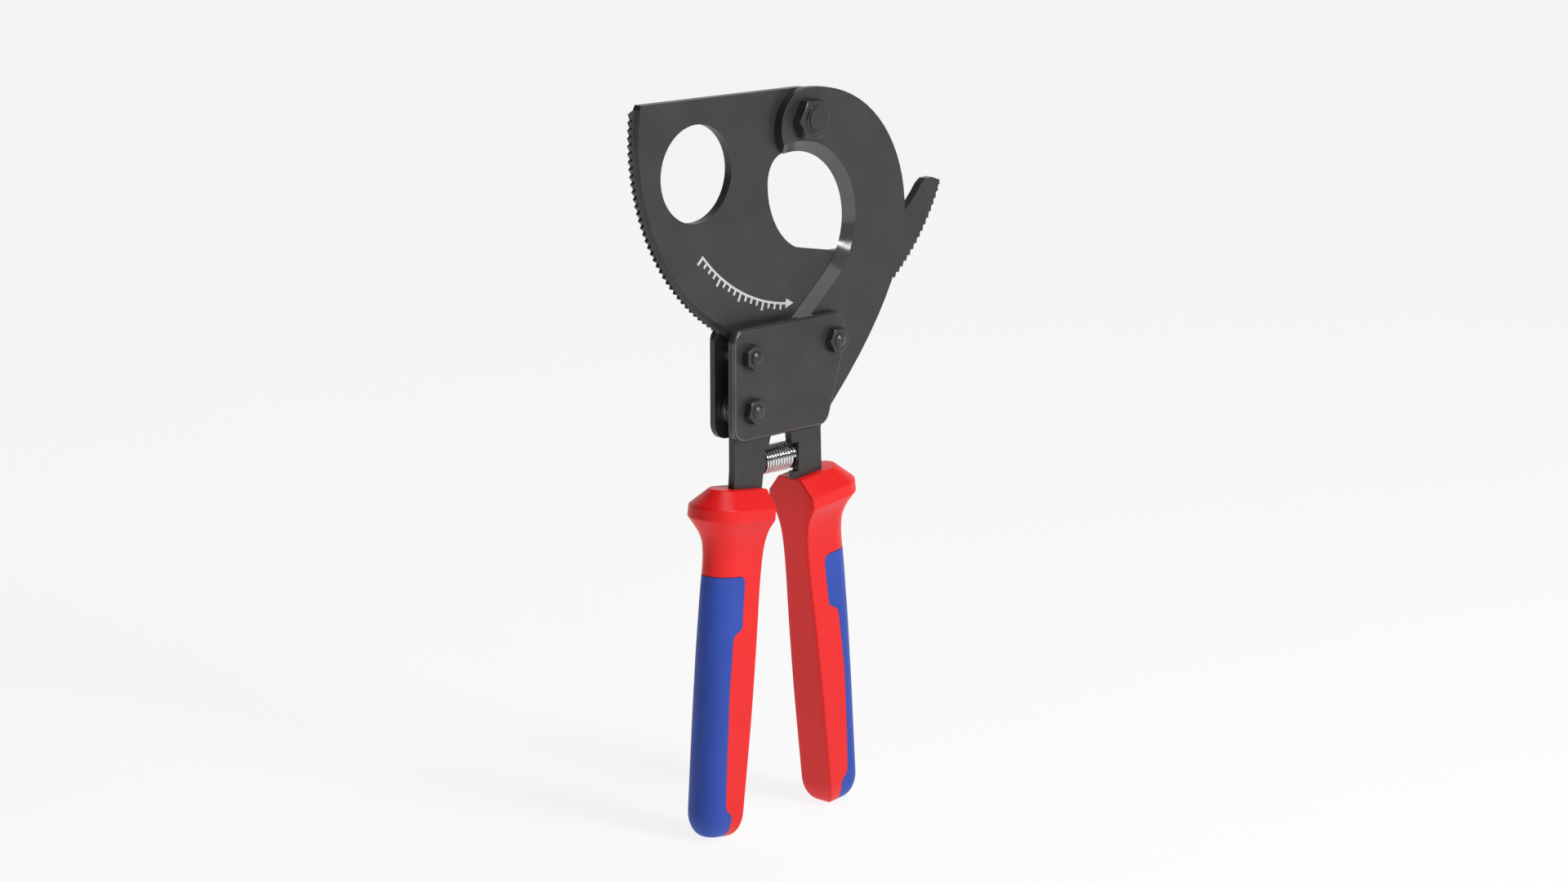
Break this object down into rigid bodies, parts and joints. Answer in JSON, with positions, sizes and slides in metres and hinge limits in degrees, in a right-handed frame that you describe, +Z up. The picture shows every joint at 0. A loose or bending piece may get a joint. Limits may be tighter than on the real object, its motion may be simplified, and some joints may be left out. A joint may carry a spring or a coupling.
{
  "type": "ratchet cable cutter",
  "caption": "Two-handed ratchet cable cutter with a toothed moving blade, a hooked fixed blade, a spring-returned lever handle and two-colour grips.",
  "frame": {"origin": "centre of the bounding box in X and Y, at the level of the handle ends", "axes": "+Z up along the tool from the handles to the blades, +X to the fixed blade's side, +Y away from the face with the nuts"},
  "size_m": [0.1918, 0.027, 0.324],
  "materials": {
    "black_steel": "satin black blackened tool steel",
    "black_fastener": "black oxide, satin",
    "bright_steel": "ground steel",
    "spring_steel": "drawn spring wire",
    "spring_chrome": "bright plated spring wire",
    "bronze": "plain sintered bronze",
    "white_paint": "white filled marking",
    "red_plastic": "semi-gloss moulded red",
    "blue_soft_grip": "soft matt blue overmould"
  },
  "bodies": {
    "frame": {"fixed_blade": "black_steel", "pivot_bolt": "black_fastener", "pivot_bush": "bronze", "pivot_washer": "bright_steel", "pivot_nut": "black_fastener", "front_cover": "black_steel", "back_cover": "black_steel", "cover_bolts": "black_fastener", "cover_stud": "black_fastener", "cover_nuts": "black_fastener", "clamp_sleeve": "bright_steel", "fulcrum_sleeve": "bright_steel", "stop_pin": "bright_steel", "tang_spacer": "black_steel", "spacer_screws": "black_fastener", "holding_pawl_spring": "spring_steel", "return_spring": "spring_chrome", "right_spring_seat": "black_fastener", "right_grip_body": "red_plastic", "right_grip_panel": "blue_soft_grip"},
    "blade": {"moving_blade": "black_steel", "blade_marking": "white_paint"},
    "lever": {"lever_tang": "black_steel", "drive_pawl_pin": "bright_steel", "drive_pawl_spring": "spring_steel", "left_spring_seat": "black_fastener", "left_grip_body": "red_plastic", "left_grip_panel": "blue_soft_grip"},
    "drive_pawl": {"drive_pawl": "bright_steel"},
    "holding_pawl": {"holding_pawl": "bright_steel"}
  },
  "joints": [
    {"name": "blade_swing", "type": "hinge", "parent": "frame", "child": "blade", "pos_m": [0.0041, 0, 0.30906], "axis": [0, -1, 0], "range_deg": [-131.25, 75]},
    {"name": "handle_squeeze", "type": "hinge", "parent": "frame", "child": "lever", "pos_m": [-0.0334, 0, 0.18776], "axis": [0, -1, 0], "range_deg": [0, 13], "stiffness_Nm_per_rad": 3, "springref_deg": -17.19, "deforming": ["return_spring"]},
    {"name": "drive_pawl_swing", "type": "hinge", "parent": "lever", "child": "drive_pawl", "pos_m": [-0.0235, 0, 0.17846], "axis": [0, -1, 0], "range_deg": [-17.4, 0]},
    {"name": "holding_pawl_swing", "type": "hinge", "parent": "frame", "child": "holding_pawl", "pos_m": [-0.0334, 0, 0.18776], "axis": [0, -1, 0], "range_deg": [0, 2.5]}
  ],
  "couplings": [
    {"joint": "drive_pawl_swing", "follows": "handle_squeeze", "ratio": -1.33}
  ]
}
